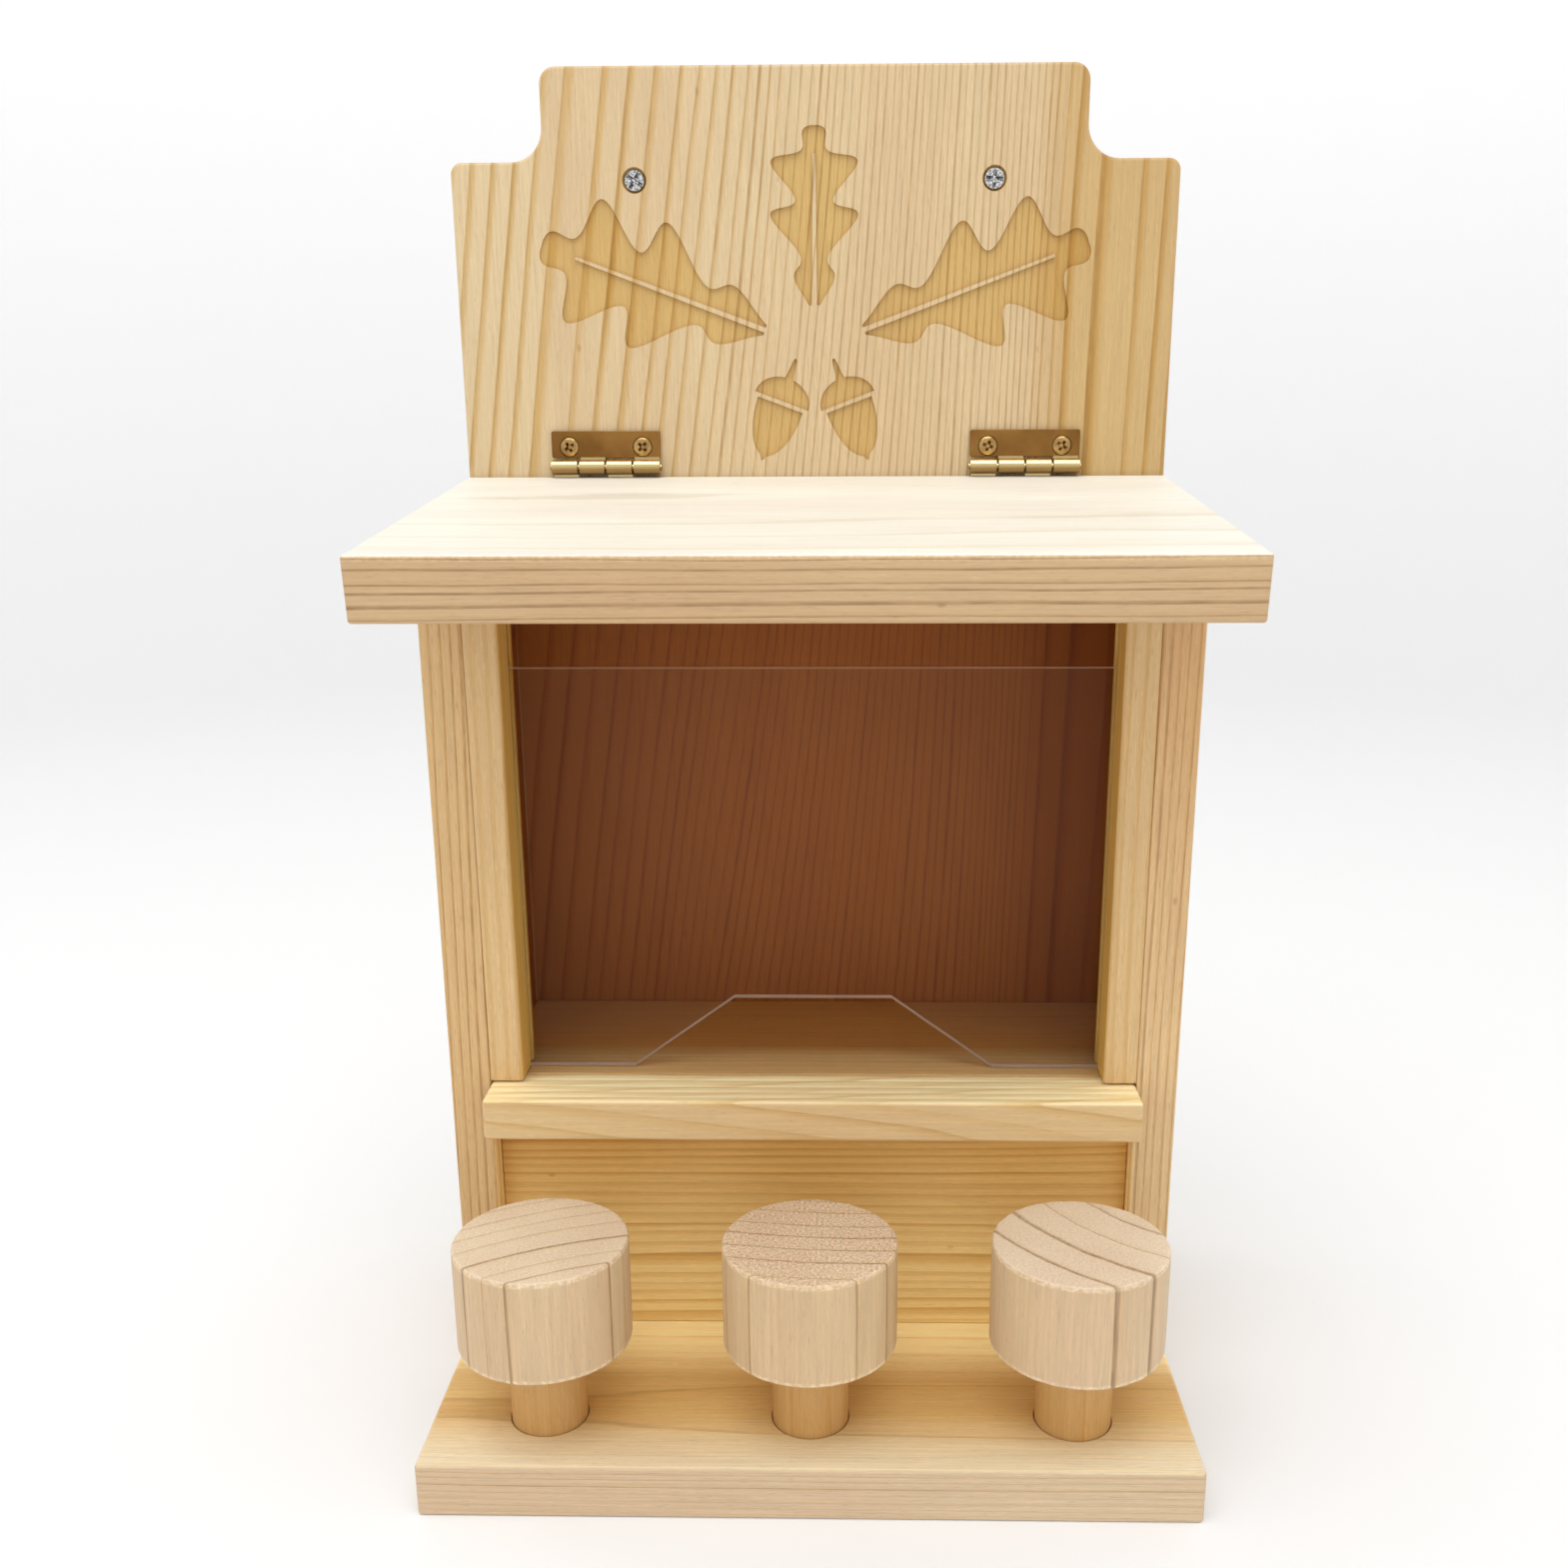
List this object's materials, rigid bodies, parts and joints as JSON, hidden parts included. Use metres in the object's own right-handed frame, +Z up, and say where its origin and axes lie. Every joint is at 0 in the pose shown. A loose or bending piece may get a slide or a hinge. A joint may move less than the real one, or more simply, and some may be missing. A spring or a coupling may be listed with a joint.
{
  "type": "squirrel feeder",
  "caption": "Wooden squirrel feeder: a nut box with a sloping hinged lid and a clear notched front on a tall back board, with round stools on the base.",
  "frame": {"origin": "centre of the underside of the base board, which the feeder stands on", "axes": "+Z up; +Y to the rear, out of the back board's rear face; the front with its stools looks along -Y"},
  "size_m": [0.16, 0.1262, 0.2891],
  "materials": {
    "pine_back": "bare planed pine, grain upright",
    "pine_base": "bare planed pine, grain across",
    "pine_side": "bare planed pine, grain upright",
    "pine_floor": "bare planed pine, grain across",
    "pine_counter": "bare planed pine, grain across",
    "pine_front": "bare planed pine, grain across",
    "pine_strip": "bare sawn pine strip, grain upright",
    "acrylic": "clear acrylic sheet with polished faces",
    "pine_lid": "bare planed pale pine, grain across",
    "brass": "lacquered brass, brushed leaves and bright barrel",
    "pine_seat": "turned pine, sawn end grain on top",
    "pine_post": "pine dowel, grain upright",
    "zinc": "zinc plated steel"
  },
  "bodies": {
    "feeder_body": {"back_board": "pine_back", "base_board": "pine_base", "side_wall_left": "pine_side", "side_wall_right": "pine_side", "hopper_floor": "pine_floor", "counter_bar": "pine_counter", "lower_front_panel": "pine_front", "guide_strip_left": "pine_strip", "guide_strip_right": "pine_strip", "hinge_left_board_leaf": "brass", "hinge_left_pin": "brass", "hinge_left_board_screw_inner": "brass", "hinge_left_board_screw_outer": "brass", "hinge_right_board_leaf": "brass", "hinge_right_pin": "brass", "hinge_right_board_screw_inner": "brass", "hinge_right_board_screw_outer": "brass", "stool_seat_left": "pine_seat", "stool_seat_middle": "pine_seat", "stool_seat_right": "pine_seat", "stool_post_left": "pine_post", "stool_post_middle": "pine_post", "stool_post_right": "pine_post", "mounting_screw_left": "zinc", "mounting_screw_right": "zinc", "back_screw_left_lower": "zinc", "back_screw_left_upper": "zinc", "back_screw_right_lower": "zinc", "back_screw_right_upper": "zinc", "base_screw_left_front": "zinc", "base_screw_left_rear": "zinc", "base_screw_right_front": "zinc", "base_screw_right_rear": "zinc", "back_base_screw_left": "zinc", "back_base_screw_right": "zinc", "back_floor_screw_left": "zinc", "back_floor_screw_right": "zinc"},
    "lid": {"lid_board": "pine_lid", "hinge_left_lid_leaf": "brass", "hinge_left_lid_screw_inner": "brass", "hinge_left_lid_screw_outer": "brass", "hinge_right_lid_leaf": "brass", "hinge_right_lid_screw_inner": "brass", "hinge_right_lid_screw_outer": "brass"},
    "clear_front": {"clear_panel": "acrylic"}
  },
  "joints": [
    {"name": "lid_hinge", "type": "hinge", "parent": "feeder_body", "child": "lid", "pos_m": [0, 0.0487, 0.20543], "axis": [-1, 0, 0], "range_deg": [0, 98]},
    {"name": "clear_panel_slide", "type": "slide", "parent": "feeder_body", "child": "clear_front", "axis": [0, 0, 1], "range_m": [0, 0.02]}
  ]
}
